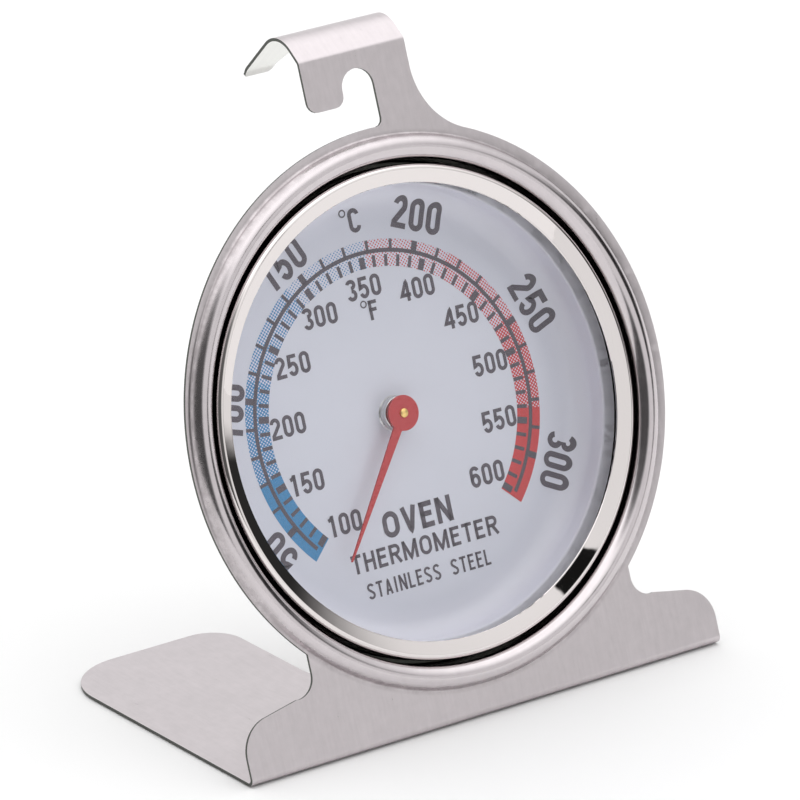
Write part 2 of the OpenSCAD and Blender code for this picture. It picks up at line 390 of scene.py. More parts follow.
def mesh_from(name, verts, faces, materials=()):
    """A smooth-shaded mesh with sharp edges where it bends."""
    mesh = bpy.data.meshes.new(name)
    mesh.from_pydata([tuple(v) for v in verts], [], [tuple(f) for f in faces])
    mesh.validate()
    mesh.shade_smooth()
    mesh.set_sharp_from_angle(angle=SHARP)
    for material in materials:
        mesh.materials.append(material)
    return mesh


def outward(mesh, weld=1e-4):
    """Joins points closer than weld and turns every face outward."""
    bm = bmesh.new()
    bm.from_mesh(mesh)
    bmesh.ops.remove_doubles(bm, verts=bm.verts, dist=weld)
    bmesh.ops.recalc_face_normals(bm, faces=bm.faces)
    bm.to_mesh(mesh)
    bm.free()
    mesh.shade_smooth()
    mesh.set_sharp_from_angle(angle=SHARP)
    return mesh


def soften_edges(obj, width, segments, degrees, keep_sharp=False):
    """Small bevels on the sharp edges, with normals that leave the flat faces flat."""
    bevel = obj.modifiers.new("edge", "BEVEL")
    bevel.width = width
    bevel.segments = segments
    bevel.limit_method = "ANGLE"
    bevel.angle_limit = math.radians(degrees)
    obj.modifiers.new("normals", "WEIGHTED_NORMAL").keep_sharp = keep_sharp


def profile_points(parts, step=0.12, tiny=1e-5):
    """Points of a profile in (radius, forward). A part is a point or (cx, cy, r, a0, a1) in degrees."""
    out = []
    for part in parts:
        points = [part] if len(part) == 2 else arc(*part, step=step)
        out += [p for p in points if not out or math.dist(p, out[-1]) > tiny]
    return out


def beside(path, distance):
    """A copy of a path, so far to its left."""
    points = np.array(path)
    along = np.gradient(points, axis=0)
    along /= np.linalg.norm(along, axis=1)[:, None]
    across = np.stack([-along[:, 1], along[:, 0]], 1)
    return [tuple(p) for p in points + distance * across]


def revolve(loop, closed=True, count=ROUND):
    """Vertices and faces of a profile turned about the dial axis."""
    verts, faces, size = [], [], len(loop)
    for i in range(count):
        angle = 2 * math.pi * i / count
        verts += [(r * math.sin(angle), r * math.cos(angle), forward) for r, forward in loop]
    for i in range(count):
        here, there = i * size, (i + 1) % count * size
        for j in range(size if closed else size - 1):
            after = (j + 1) % size
            faces.append((here + j, here + after, there + after, there + j))
    return verts, faces


def turned(name, parts, material, replaces, body="body", step=0.12, count=ROUND):
    """A closed turned piece in the axis frame."""
    verts, faces = revolve(profile_points(parts, step), count=count)
    mesh = outward(mesh_from(name, verts, faces, [material]))
    return new_object(name, mesh, body, replaces, AXIS)


# ---------- the stand's mesh ----------

# Material slots: the outer face, the hook's inner face in a lighter copy of the steel that is painted
# light, and the cut edge in dark steel that is partly rougher sheared steel and partly painted shade. The
# collar down in the gap behind the bead also takes the dark edge steel, which is painted shade.
OUTER, LIT_INNER, SHADED_EDGE = 0, 1, 2
COLLAR_TOP = -0.6  # the collar's face is dark from this height down


def folded_sheet(rim):
    """Both faces and the cut edges of the bent blank, open inside the radius rim."""
    flat, tris = fill(blank(), [circle(rim)], bend_lines())
    n = len(flat)
    verts = [bent(u, s, 0) for u, s in flat] + [bent(u, s, SHEET) for u, s in flat]
    faces = [(a, c, b) for a, b, c in tris] + [(a + n, b + n, c + n) for a, b, c in tris]
    # The hook's inner face takes the lighter copy of the steel: painted light.
    slots = [OUTER] * len(tris) + [LIT_INNER if flat[tri[0]][1] > CREASE else OUTER for tri in tris]
    for a, b in open_edges(tris):
        if any(abs(np.hypot(*flat[i]) - rim) > 1e-3 for i in (a, b)):
            faces.append((a, b, b + n, a + n))
            slots.append(SHADED_EDGE)
    return verts, faces, slots


def beaded_ring(rim):
    """The bead, its collar and the seat, from the flat sheet at the radius rim inwards."""
    root = math.degrees(math.asin((ROOT_R + BEAD_SINK) / (BEAD_R + ROOT_R)))
    front = profile_points([
        (rim, 0),
        (rim, ROOT_R, ROOT_R, 270, 180 + root),
        (BEAD_C, -BEAD_SINK, BEAD_R, root, 180),
        (COLLAR_R, SEAT_R - SEAT_B),
        (COLLAR_R - SEAT_R, SEAT_R - SEAT_B, SEAT_R, 0, -90),
        (SEAT_IN, -SEAT_B),
    ], step=0.1)
    back = beside(front, SHEET)
    back[0] = (rim, -SHEET)
    loop = front + back[::-1]
    points, faces = revolve(loop, closed=False)
    # The collar's face from COLLAR_TOP down takes the dark edge steel: painted shade in the gap behind
    # the bead.
    dark = [0 < j < len(front) and loop[j][1] < COLLAR_TOP for j in range(len(loop) - 1)]
    slots = [SHADED_EDGE if is_dark else OUTER for is_dark in dark] * ROUND
    return [tuple(AXIS @ Vector(p)) for p in points], faces, slots


def stand_mesh(materials):
    """The sheet from its flat blank, bent to shape, with the beaded ring turned into it."""
    rim = BEAD_C + math.sqrt((BEAD_R + ROOT_R) ** 2 - (ROOT_R + BEAD_SINK) ** 2)
    verts, faces, slots = folded_sheet(rim)
    ring_verts, ring_faces, ring_slots = beaded_ring(rim)
    base = len(verts)
    faces += [tuple(i + base for i in f) for f in ring_faces]
    mesh = mesh_from("stand_sheet", verts + ring_verts, faces, materials)
    mesh.polygons.foreach_set("material_index", slots + ring_slots)
    return outward(mesh, weld=1e-7)


# ---------- materials ----------

SATIN = (0.615, 0.57, 0.585)
CREASE_SHADE = (0.16, 0.14, 0.14)
POLISHED = (0.77, 0.725, 0.715)
HAIRLINE = (0.69, 0.65, 0.64)
PAINT = (0.715, 0.73, 0.82)
PAINT_PAINTED_LIGHT = (0.84, 0.84, 0.92)
PAPER = (0.71, 0.71, 0.81)
BLUE = (0.055, 0.26, 0.52)
RED = (0.62, 0.058, 0.065)
DARK = (0.105, 0.09, 0.115)
NOISE = (0.3, 0.7)  # nearly all of a noise texture lies between these


def tint(color, factor):
    """A colour made darker or lighter, never past full."""
    return tuple(min(1, c * factor) for c in color)


def add_node(tree, kind, inputs=(), **props):
    """A new shader node; an input is a value or the output of another node."""
    node = tree.nodes.new("ShaderNode" + kind)
    for key, value in props.items():
        setattr(node, key, value)
    for key, value in dict(inputs).items():
        if isinstance(value, bpy.types.NodeSocket):
            tree.links.new(value, node.inputs[key])
        else:
            node.inputs[key].default_value = value
    return node


class Shade:
    """A Principled material and short ways to add nodes to it."""

    def __init__(self, name, color, metallic=0.0, roughness=0.5):
        self.material = bpy.data.materials.new(name)
        self.material.use_nodes = True
        self.tree = self.material.node_tree
        self.shader = next(n for n in self.tree.nodes if n.type == "BSDF_PRINCIPLED")
        self.shader.inputs["Base Color"].default_value = (*color, 1)
        self.shader.inputs["Metallic"].default_value = metallic
        self.shader.inputs["Roughness"].default_value = roughness

    def add(self, kind, inputs=(), **props):
        return add_node(self.tree, kind, inputs, **props)

    def math(self, operation, a, b=0.0):
        return self.add("Math", {0: a, 1: b}, operation=operation).outputs[0]

    def link(self, out, socket):
        self.tree.links.new(out, self.shader.inputs[socket])

    def spot(self):
        """The point in the object's own units: metres, or millimetres for pieces in the axis frame."""
        return self.add("TexCoord").outputs["Object"]

    def parts(self, vector):
        return self.add("SeparateXYZ", {0: vector}).outputs

    def vector(self, x, y, z):
        return self.add("CombineXYZ", {0: x, 1: y, 2: z}).outputs[0]

    def radius(self, vector, plane=(1, 1, 0)):
        """Length of a vector's share in a plane."""
        flat = self.add("VectorMath", {0: vector, 1: plane}, operation="MULTIPLY").outputs[0]
        return self.add("VectorMath", {0: flat}, operation="LENGTH").outputs["Value"]

    def mapped(self, vector, scale=(1, 1, 1), turn=(0, 0, 0), move=(0, 0, 0)):
        inputs = {"Vector": vector, "Location": move, "Rotation": turn, "Scale": scale}
        return self.add("Mapping", inputs).outputs[0]

    def noise(self, vector, scale=1.0, detail=3.0, rough=0.6):
        inputs = {"Vector": vector, "Scale": scale, "Detail": detail, "Roughness": rough}
        return self.add("TexNoise", inputs).outputs["Fac"]

    def range(self, value, low, high, to_low, to_high):
        """A value brought from one range to another, held at the ends."""
        inputs = {"Value": value, "From Min": low, "From Max": high, "To Min": to_low, "To Max": to_high}
        return self.add("MapRange", inputs, clamp=True).outputs[0]

    def mix(self, factor, a, b):
        """A colour between a and b; each is a colour or the output of another node."""
        node = self.add("Mix", data_type="RGBA")
        for index, value in ((0, factor), (6, a), (7, b)):
            if isinstance(value, bpy.types.NodeSocket):
                self.tree.links.new(value, node.inputs[index])
            else:
                node.inputs[index].default_value = (*value, 1) if index else value
        return node.outputs[2]

    def bump(self, height, depth):
        """A relief, depth in metres."""
        node = self.add("Bump", {"Height": height, "Distance": depth, "Strength": 1.0})
        self.link(node.outputs[0], "Normal")

    def surface(self, grain, low, high, depth):
        """Roughness from low to high and a shallow relief, both from one noise."""
        self.link(self.range(grain, *NOISE, low, high), "Roughness")
        self.bump(grain, depth)


def brushed(name, color, rough=0.3, spread=0.08, grain=(2600, 60, 60), depth=4e-6, polar=False):
    """Metal with fine grain along one direction, or round the axis of a piece in the axis frame."""
    m = Shade(name, color, metallic=1.0, roughness=rough)
    unit = MM if polar else 1
    spot = m.spot()
    if polar:
        x, y, z = m.parts(spot)
        spot = m.vector(m.math("ADD", m.radius(spot), z), x, y)
    fine = m.noise(m.mapped(spot, tuple(g * unit for g in grain)))
    wide = m.noise(spot, scale=90 * unit)
    both = m.math("ADD", m.math("MULTIPLY", fine, 0.7), m.math("MULTIPLY", wide, 0.5))
    m.link(m.range(both, 0.35, 0.85, rough - spread, rough + spread), "Roughness")
    m.link(m.mix(fine, tint(color, 0.9), tint(color, 1.06)), "Base Color")
    m.bump(fine, depth)
    return m.material


def stand_steel():
    """Satin sheet: faint grain up the sheet and round the bead, a rougher crease at the bead's root with
    painted shade in it.
    """
    m = Shade("stainless_satin", SATIN, metallic=1.0, roughness=0.32)
    spot = m.spot()
    move = (0, -WEB_Y * COS * MM, -(RING_H + WEB_Y * SIN) * MM)
    plate = m.mapped(spot, turn=(LEAN, 0, 0), move=move)
    across, behind, up = m.parts(plate)
    radius = m.radius(plate, plane=(1, 0, 1))

    # Masks, in metres behind the plate's face and from the dial's axis: the bead, the crease at its root.
    front = m.range(behind, 0.0015, 0.0030, 1, 0)
    on_bead = m.math("MULTIPLY", m.range(radius, 0.0290, 0.0297, 1, 0), front)
    past_bead = m.range(radius, 0.0286, 0.0290, 0, 1)
    at_root = m.math("MULTIPLY", past_bead, m.range(radius, 0.0293, 0.0298, 1, 0))
    at_root = m.math("MULTIPLY", at_root, front)

    # Grain along the sheet off the bead, and round the axis on it.
    straight = m.noise(m.mapped(spot, (2600, 260, 260)), detail=4)
    curved = m.noise(m.mapped(m.vector(radius, across, up), (2600, 160, 160)), detail=4, rough=0.65)
    off_bead = m.math("SUBTRACT", 1.0, on_bead)
    fine = m.math("ADD", m.math("MULTIPLY", curved, on_bead), m.math("MULTIPLY", straight, off_bead))
    mottle = m.noise(spot, scale=900, detail=4)
    tone = m.math("ADD", m.math("MULTIPLY", fine, 0.5), m.math("MULTIPLY", mottle, 0.5))
    clouds = m.noise(spot, scale=110, rough=0.55)
    # The crease at the bead's root is rougher and patchy, and its colour is darkened with painted shade.
    root_patches = m.noise(m.mapped(spot, (700, 700, 700)), rough=0.7)
    scuff_and_shade = m.math("MULTIPLY", at_root, m.range(root_patches, 0.35, 0.6, 0.35, 1))

    base = m.mix(m.range(tone, *NOISE, 0, 1), tint(SATIN, 0.93), tint(SATIN, 1.06))
    base = m.mix(m.range(clouds, 0.5, 0.7, 0, 0.12), base, tint(SATIN, 0.8))
    base = m.mix(m.math("MULTIPLY", scuff_and_shade, 0.35), base, CREASE_SHADE)
    m.link(base, "Base Color")
    rough = m.math("SUBTRACT", m.range(tone, *NOISE, 0.27, 0.36), m.math("MULTIPLY", on_bead, 0.17))
    m.link(m.math("ADD", rough, m.math("MULTIPLY", scuff_and_shade, 0.2)), "Roughness")
    m.bump(m.math("ADD", tone, m.math("MULTIPLY", scuff_and_shade, 0.8)), 4e-6)
    return m.material


def polished_steel():
    """Mirror finish with faint hairlines and smudges."""
    m = Shade("bezel_polished", POLISHED, metallic=1.0, roughness=0.03)
    spot = m.spot()
    hair = m.noise(m.mapped(spot, (9, 0.5, 9), turn=(0, 0, 0.4)), detail=4, rough=0.7)
    smudge = m.noise(spot, scale=0.35)
    m.link(m.range(smudge, 0.4, 0.75, 0.015, 0.05), "Roughness")
    m.link(m.mix(m.range(hair, 0.55, 0.75, 0, 0.3), POLISHED, HAIRLINE), "Base Color")
    m.bump(m.noise(spot, scale=0.25, detail=2, rough=0.5), 6e-6)
    return m.material


def clear_glass():
    """Thin clear pane: straight through, with a mirror share that grows towards grazing view."""
    m = Shade("glass", (1.0, 1.0, 1.0), metallic=1.0, roughness=0.03)
    spot = m.spot()
    smear = m.noise(m.mapped(spot, (0.12, 0.3, 0.12), turn=(0, 0, 0.7)), detail=4)
    m.link(m.range(smear, 0.5, 0.8, 0.02, 0.06), "Roughness")
    m.bump(m.noise(spot, scale=0.05, detail=2, rough=0.5), 4e-6)
    facing = m.add("LayerWeight", {"Blend": 0.5}).outputs["Facing"]
    mirror = m.math("ADD", m.math("MULTIPLY", m.math("POWER", facing, 5.0), 0.9), 0.02)
    clear = m.add("BsdfTransparent").outputs[0]
    pane = m.add("MixShader", {0: mirror, 1: clear, 2: m.shader.outputs[0]})
    out = next(n for n in m.tree.nodes if n.type == "OUTPUT_MATERIAL")
    m.tree.links.new(pane.outputs[0], out.inputs["Surface"])
    return m.material


def dial_paint():
    """Pale satin paint, with painted light towards the dial's turned-up edge, where shade falls."""
    m = Shade("dial_paint", PAINT, roughness=0.35)
    spot = m.spot()
    clouds = m.noise(spot, scale=0.09, rough=0.5)
    base = m.mix(m.range(clouds, *NOISE, 0, 1), tint(PAINT, 0.97), PAINT)
    # Painted light: the paint turns lighter towards the turned-up wall, making up for the shade that
    # falls there.
    m.link(m.mix(m.range(m.radius(spot), 20.5, DIAL_WALL, 0, 1), base, PAINT_PAINTED_LIGHT), "Base Color")
    m.surface(m.noise(spot, scale=2.2, rough=0.5), 0.3, 0.42, 4e-6)
    return m.material


def ink(name, color):
    """Solid printing ink, a little patchy."""
    m = Shade(name, color, roughness=0.4)
    patchy = m.noise(m.spot(), scale=4)
    m.link(m.mix(m.range(patchy, *NOISE, 0, 1), tint(color, 0.88), tint(color, 1.1)), "Base Color")
    m.surface(patchy, 0.35, 0.5, 2e-6)
    return m.material


def halftone(name, color, cover, pitch=0.3, blur=0.12):
    """Ink dots on a turned square grid; cover is the share of the paper they hide."""
    m = Shade(name, color, roughness=0.4)
    grid = m.parts(m.mapped(m.spot(), turn=(0, 0, math.radians(45))))
    waves = [m.math("COSINE", m.math("MULTIPLY", grid[i], 2 * math.pi / pitch)) for i in (0, 1)]
    dots = m.math("MULTIPLY", m.math("ADD", *waves), 0.5)
    edge = math.cos(math.pi * cover)
    m.link(m.mix(m.range(dots, edge - blur, edge + blur, 0, 1), PAPER, color), "Base Color")
    m.surface(m.noise(m.spot(), scale=4), 0.35, 0.5, 2e-6)
    return m.material


def enamel(name, color):
    """Glossy lacquer with a fine orange peel."""
    m = Shade(name, color, roughness=0.3)
    peel = m.noise(m.spot(), scale=3, rough=0.5)
    m.link(m.mix(m.range(peel, 0.35, 0.7, 0, 1), tint(color, 0.9), color), "Base Color")
    m.surface(peel, 0.24, 0.38, 4e-6)
    return m.material


def fibre():
    """Dark matt gasket."""
    m = Shade("gasket", (0.05, 0.05, 0.05), roughness=0.9)
    weave = m.noise(m.spot(), scale=3000, rough=0.7)
    m.link(m.mix(weave, (0.03, 0.03, 0.03), (0.09, 0.085, 0.08)), "Base Color")
    m.surface(weave, 0.8, 0.98, 3e-5)
    return m.material


# ---------- print ----------

class Print:
    """Flat printed shapes a hair above the dial face, collected into one mesh."""

    def __init__(self, layer):
        self.verts, self.faces, self.slots = [], [], []
        self.level = layer * PRINT_LIFT - DIAL_B

    def rise(self, p):
        """Height of the dial's turned-up edge above its flat at a dial point."""
        over = math.hypot(p[0], p[1]) - DIAL_WALL + DIAL_ROUND
        over = min(max(0.0, over), DIAL_ROUND * 0.95)  # short of the upright wall
        return DIAL_ROUND - math.sqrt(DIAL_ROUND ** 2 - over ** 2)

    def strip(self, left, right, slot=0, closed=False):
        """A ribbon of faces between two rows of dial points."""
        base, n = len(self.verts), len(left)
        for pair in zip(left, right):
            self.verts += [(p[0], p[1], self.level + self.rise(p)) for p in pair]
        for i in range(n if closed else n - 1):
            j = (i + 1) % n
            self.faces.append((base + 2 * i, base + 2 * i + 1, base + 2 * j + 1, base + 2 * j))
            self.slots.append(slot)

    def ring(self, r0, r1, a0, a1, slot=0):
        """A part of a ring, from a0 to a1 degrees clockwise from the top."""
        n = max(2, int(abs(a1 - a0)))
        angles = [a0 + (a1 - a0) * i / n for i in range(n + 1)]
        self.strip([polar(r0, a) for a in angles], [polar(r1, a) for a in angles], slot)

    def tick(self, angle, r0, r1, width):
        """A straight mark along a radius."""
        out, across = polar(1, angle), polar(width / 2, angle + 90)
        self.strip([(r * out[0] - across[0], r * out[1] - across[1]) for r in (r0, r1)],
                   [(r * out[0] + across[0], r * out[1] + across[1]) for r in (r0, r1)])

    def stroke(self, points, width, place, closed=False):
        """A pen line of even width with mitred corners; place maps glyph points to the dial."""
        fine = []
        for a, b in zip(points, points[1:] + (points[:1] if closed else [])):
            count = max(1, math.ceil(math.dist(a, b) / PEN_STEP))
            along = [i / count for i in range(count)]
            fine += [(a[0] + (b[0] - a[0]) * t, a[1] + (b[1] - a[1]) * t) for t in along]
        pts = np.array(fine if closed else fine + [points[-1]], float)
        if closed:
            before, after = np.roll(pts, 1, 0), np.roll(pts, -1, 0)
        else:
            before = np.vstack([2 * pts[0] - pts[1], pts[:-1]])
            after = np.vstack([pts[1:], 2 * pts[-1] - pts[-2]])
        d0, d1 = pts - before, after - pts
        d0 /= np.linalg.norm(d0, axis=1)[:, None]
        d1 /= np.linalg.norm(d1, axis=1)[:, None]
        n0, n1 = np.stack([-d0[:, 1], d0[:, 0]], 1), np.stack([-d1[:, 1], d1[:, 0]], 1)
        mitre = n0 + n1
        mitre /= np.maximum((mitre * n0).sum(1), MITRE_LIMIT)[:, None]
        left, right = pts + mitre * width / 2, pts - mitre * width / 2
        self.strip([place(p) for p in left], [place(p) for p in right], closed=closed)

    def small_ring(self, centre, r, width):
        """The ring of a degree sign."""
        rims = [circle(r + side * width / 2, 24) for side in (1, -1)]
        outer, inner = [[(centre[0] + x, centre[1] + y) for x, y in rim] for rim in rims]
        self.strip(outer, inner, closed=True)

    def object(self, name, materials):
        """The printed object on the dial, all its faces turned to the front."""
        mesh = mesh_from(name, self.verts, self.faces, materials)
        mesh.polygons.foreach_set("material_index", self.slots)
        bm = bmesh.new()
        bm.from_mesh(mesh)
        for face in bm.faces:
            if face.normal.z < 0:
                face.normal_flip()
        bm.to_mesh(mesh)
        bm.free()
        return new_object(name, mesh, "body", matrix=AXIS)


def glyph(char, w, pen):
    """Pen strokes of a condensed sans character in a cell w wide and 1 high: [(points, closed)]."""
    a = pen / 2
    x0, x1, y0, y1, c = a, w - a, a, 1 - a, w / 2
    r = c - a

    def bow(cy, a0, a1, ry=r, cx=c, rx=r):
        """An arc of an ellipse, as wide as the cell unless told otherwise."""
        return arc(cx, cy, rx, a0, a1, 0.03, ry)

    def line(*points):
        return list(points), False

    left, right = line((x0, 0), (x0, 1)), line((x1, 0), (x1, 1))
    upper, lower = y1 - r, y0 + r
    if char in "0O":
        return [(clean(bow(upper, 0, 180) + bow(lower, 180, 360)), True)]
    if char == "1":
        flag = line((c - 0.16, 0.79), (c - 0.02, 0.83), (c + 0.06, 0.95))
        return [line((c + 0.06, 0), (c + 0.06, 1)), flag]
    if char == "2":
        return [(bow(0.71, 172, -28, y1 - 0.71) + [(x0 + 0.01, y0 + 0.1), (x0, y0), (w, y0)], False)]
    if char == "3":
        return [(bow(0.755, 165, -90, y1 - 0.755), False), (bow(0.275, 90, -165, 0.275 - y0), False)]
    if char == "4":
        return [line((w * 0.72, 0), (w * 0.72, 1 - a * 0.6), (x0 * 0.6, 0.29), (w, 0.29))]
    if char == "5":
        corner = [(w * 0.93, y1), (x0 + 0.04, y1), (x0 + 0.01, 0.5)]
        return [(corner + bow(0.33, 128, -158, 0.33 - y0), False)]
    if char == "6":
        bowl = clean(bow(0.33, 0, 360, 0.33 - y0))[:-1]
        return [(bow(upper, 18, 180) + [(x0, 0.33)], False), (bowl, True)]
    if char == "C":
        return [(bow(upper, 5, 180) + bow(lower, 180, 355), False)]
    if char in "FEL":
        rows = {"F": (y1, 0.53), "E": (y1, 0.53, y0), "L": (y0,)}[char]
        return [left] + [line((0, y), (w * (0.86 if y == 0.53 else 0.96), y)) for y in rows]
    if char == "H":
        return [left, right, line((x0, 0.52), (x1, 0.52))]
    if char == "N":
        return [left, right, line((x0, 0.97), (x1, 0.03))]
    if char == "M":
        return [left, right, line((x0, 0.97), (c, 0.06), (x1, 0.97))]
    if char == "T":
        return [line((c, 0), (c, 1)), line((0, y1), (w, y1))]
    if char == "I":
        return [line((c, 0), (c, 1))]
    if char == "V":
        return [line((x0, 1), (c, 0.03), (x1, 1))]
    if char == "A":
        return [line((x0, 0), (c, 0.97), (x1, 0)), line((w * 0.22, 0.27), (w * 0.78, 0.27))]
    if char == "R":
        k = (y1 - 0.5) / 2
        bowl = [(x0, y1)] + bow(0.5 + k, 90, -90, k, x1 - k, k) + [(x0, 0.5)]
        return [left, (bowl, False), line((w * 0.5, 0.5), (w * 0.95, 0))]
    if char == "S":
        return [(bow(0.74, 20, 235, y1 - 0.74) + bow(0.26, 55, -160, 0.26 - y0), False)]
    raise ValueError(char)


# Widths of the letters whose cells aren't one unit wide.
WIDE = {"M": 1.35, "I": 0.45, "O": 1.08, "N": 1.05, "V": 1.05, "E": 0.88, "F": 0.85, "L": 0.85, "T": 0.92}


def write(sheet, text, centre, height, width, turn=0.0, pen=0.18, gap=0.2):
    """Writes text centred on a dial point, so many mm high and wide, turned clockwise by degrees."""
    cells = [WIDE.get(char, 1.0) for char in text]
    gaps = len(text) - 1 + text.count(" ")
    unit = (width / height) / (sum(cells) + gap * gaps)
    sin, cos = math.sin(math.radians(turn)), math.cos(math.radians(turn))

    def placer(start):
        """Maps the points of a glyph that begins at start to the dial."""
        def place(p):
            x, y = (start + p[0]) * height, (p[1] - 0.5) * height
            return centre[0] + x * cos + y * sin, centre[1] - x * sin + y * cos
        return place

    start = -width / height / 2
    for char, cell in zip(text, cells):
        if char != " ":
            for points, closed in glyph(char, cell * unit, pen):
                sheet.stroke(points, pen, placer(start), closed)
        start += (cell + gap) * unit


def polar(r, degrees):
    """Dial point at a radius and an angle clockwise from the top."""
    return r * math.sin(math.radians(degrees)), r * math.cos(math.radians(degrees))


def fahrenheit(t):
    """Dial angle of a temperature in degrees Fahrenheit."""
    return (t - TOP_F) * TURN_PER_F


def celsius(t):
    """Dial angle of a temperature in degrees Celsius."""
    return fahrenheit(t * 1.8 + 32)


def print_band():
    """The colour band: full ink at both ends, halftone between, blue for cool and red for hot."""
    zones = [
        (-134, -101, BLUE, 1.0), (-101, -66, BLUE, 0.6), (-66, -32, BLUE, 0.5), (-32, 2, BLUE, 0.36),
        (2, 36, RED, 0.4), (36, 68, RED, 0.48), (68, 101, RED, 0.6), (101, 134, RED, 1.0),
    ]
    band, inks = Print(layer=1), []
    for k, (start, end, color, cover) in enumerate(zones):
        band.ring(*BAND, start, end, slot=k)
        name = "scale_colour_%d" % k
        inks.append(ink(name, color) if cover == 1 else halftone(name, color, cover))
    band.object("dial_colour_band", inks)


def print_celsius(marks):
    """Ticks in the outer half of the band, and numbers outside it that lean with the scale."""
    for t in range(50, 301, 10):
        marks.tick(celsius(t), 17.4, BAND[1], 0.7 if t % 50 == 0 else 0.36)
    placed = {50: (20.7, 1.4), 100: (20.4, 3.8), 150: (20.7, 2.8)}  # radius, degrees before the tick
    for t in range(50, 301, 50):
        digits = str(t)
        r, early = placed.get(t, (21.25, 0.3))
        width = 1.9 + 2.1 * (len(digits) - 1)
        write(marks, digits, polar(r, celsius(t) - early), 3.5, width, turn=celsius(t), pen=0.175)


def print_fahrenheit(marks):
    """Ticks in the inner half of the band, and upright numbers inside it."""
    for t in range(100, 601, 10):
        marks.tick(fahrenheit(t), BAND[0], 16.85, 0.72 if t % 50 == 0 else 0.4)
    for t in range(100, 601, 50):
        early = 2 + max(0, 250 - t) / 45 if t < 375 else 0
        at = fahrenheit(t) - early
        r = 13.25 + 0.5 * max(0, math.cos(math.radians(at)))
        write(marks, str(t), polar(r, at), 2.3, 4.35, pen=0.175, gap=0.22)


def print_words(marks):
    """The two unit signs at the top and the words at the bottom."""
    write(marks, "C", (0.13, 20.86), 2.6, 1.45)
    marks.small_ring((-1.2, 21.85), 0.36, 0.16)
    write(marks, "F", (0.18, 11.2), 2.1, 1.1)
    marks.small_ring((-0.92, 12.0), 0.34, 0.15)
    write(marks, "OVEN", (0.1, -11.25), 2.8, 8.9, pen=0.2)
    write(marks, "THERMOMETER", (0.3, -14.36), 2.05, 18.9, pen=0.175, gap=0.24)
    write(marks, "STAINLESS STEEL", (0.2, -17.5), 1.7, 16.2, pen=0.15, gap=0.3)


def print_dial():
    """The colour band, and over it everything in dark ink."""
    print_band()
    marks = Print(layer=2)
    marks.ring(*LINE, -132, 132)
    print_celsius(marks)
    print_fahrenheit(marks)
    print_words(marks)
    marks.object("dial_print", [ink("print_dark", DARK)])


# ---------- pieces ----------

def build_stand():
    """The whole sheet stand in one piece."""
    # The hook's inner face gets a lighter copy of the steel: painted light.
    inner = brushed("sheet_inner_painted_light", (0.86, 0.865, 0.835), 0.35, 0.06, (2300, 200, 200), 3e-6)
    # The cut edges and the collar in the gap get near-black rough steel: rougher sheared edges, darkened
    # with painted shade.
    edge = brushed("sheet_edge_painted_shade", (0.10, 0.105, 0.095), 0.45, 0.08, (1500, 1500, 1500), 3e-6)
    mesh = stand_mesh([stand_steel(), inner, edge])
    stand = new_object("stand_sheet", mesh, "body", ["stand"])
    soften_edges(stand, width=0.03 * MM, segments=1, degrees=60, keep_sharp=True)


def build_bezel():
    """Ring of one sheet: crimp behind, wall, rounded front, and a lip turned in over the glass."""
    back = -SEAT_B
    turned("bezel_ring", [
        (BEZEL_R, back),
        (BEZEL_R - 0.6, 0.0, 0.6, 0, 92),
        (SIGHT_R + 0.12, -0.02),
        (SIGHT_R + 0.1, -0.14, 0.12, 90, 200),
        (SIGHT_R + 0.12, -0.35),
        (SIGHT_R + 0.5, -0.35),
        (BEZEL_R - 0.7, 0.1),
        (BEZEL_R - BEZEL_T, -0.2),
        (BEZEL_R - BEZEL_T, back + BEZEL_T),
        (BEZEL_IN, back + BEZEL_T),
        (BEZEL_IN, back + 0.05),
        (BEZEL_IN + 0.05, back),
    ], polished_steel(), ["bezel"], step=0.06)


def build_lens():
    """Flat disc with a small bevel at its rim."""
    turned("lens_glass", [
        (0.001, -LENS_FRONT),
        (LENS_R - LENS_EDGE, -LENS_FRONT),
        (LENS_R, -LENS_FRONT - LENS_EDGE),
        (LENS_R, -LENS_BACK + LENS_EDGE),
        (LENS_R - LENS_EDGE, -LENS_BACK),
        (0.001, -LENS_BACK),
    ], clear_glass(), ["lens"])


def build_dial():
    """Dished plate: flat face, turned-up wall and a rim under the glass."""
    corner = (DIAL_WALL - DIAL_ROUND, -DIAL_B + DIAL_ROUND)
    turned("dial_plate", [
        (BUSH_R, -DIAL_B),
        (corner[0], -DIAL_B),
        (*corner, DIAL_ROUND, 270, 360),
        (DIAL_WALL, -LENS_BACK - DIAL_LIP),
        (DIAL_WALL + DIAL_LIP, -LENS_BACK - DIAL_LIP, DIAL_LIP, 180, 90),
        (LENS_R, -LENS_BACK),
        (LENS_R, -LENS_BACK - DIAL_T),
        (DIAL_WALL + DIAL_T, -LENS_BACK - DIAL_T),
        (DIAL_WALL + DIAL_T, corner[1]),
        (*corner, DIAL_ROUND + DIAL_T, 360, 270),
        (BUSH_R, -DIAL_B - DIAL_T),
    ], dial_paint(), ["dial"])


def build_bush():
    """Turned boss on the dial, its waist through the plate and its riveted end behind."""
    metal = brushed("turned_metal", (0.72, 0.71, 0.70), 0.28, grain=(6000, 200, 200), polar=True)
    bore, boss, front, end = 0.56, 1.85, -5.35, -7.3
    turned("bush_boss", [
        (bore, front - 0.05),
        (bore + 0.06, front),
        (boss - 0.15, front),
        (boss - 0.1, front - 0.1, 0.1, 90, 0),
        (boss, -DIAL_B + 0.12),
        (boss + 0.1, -DIAL_B),
        (BUSH_R, -DIAL_B),
        (BUSH_R, -DIAL_B - DIAL_T),
        (1.7, -DIAL_B - DIAL_T),
        (1.65, end),
        (bore, end),
    ], metal, ["dial_bush"], step=0.04, count=96)


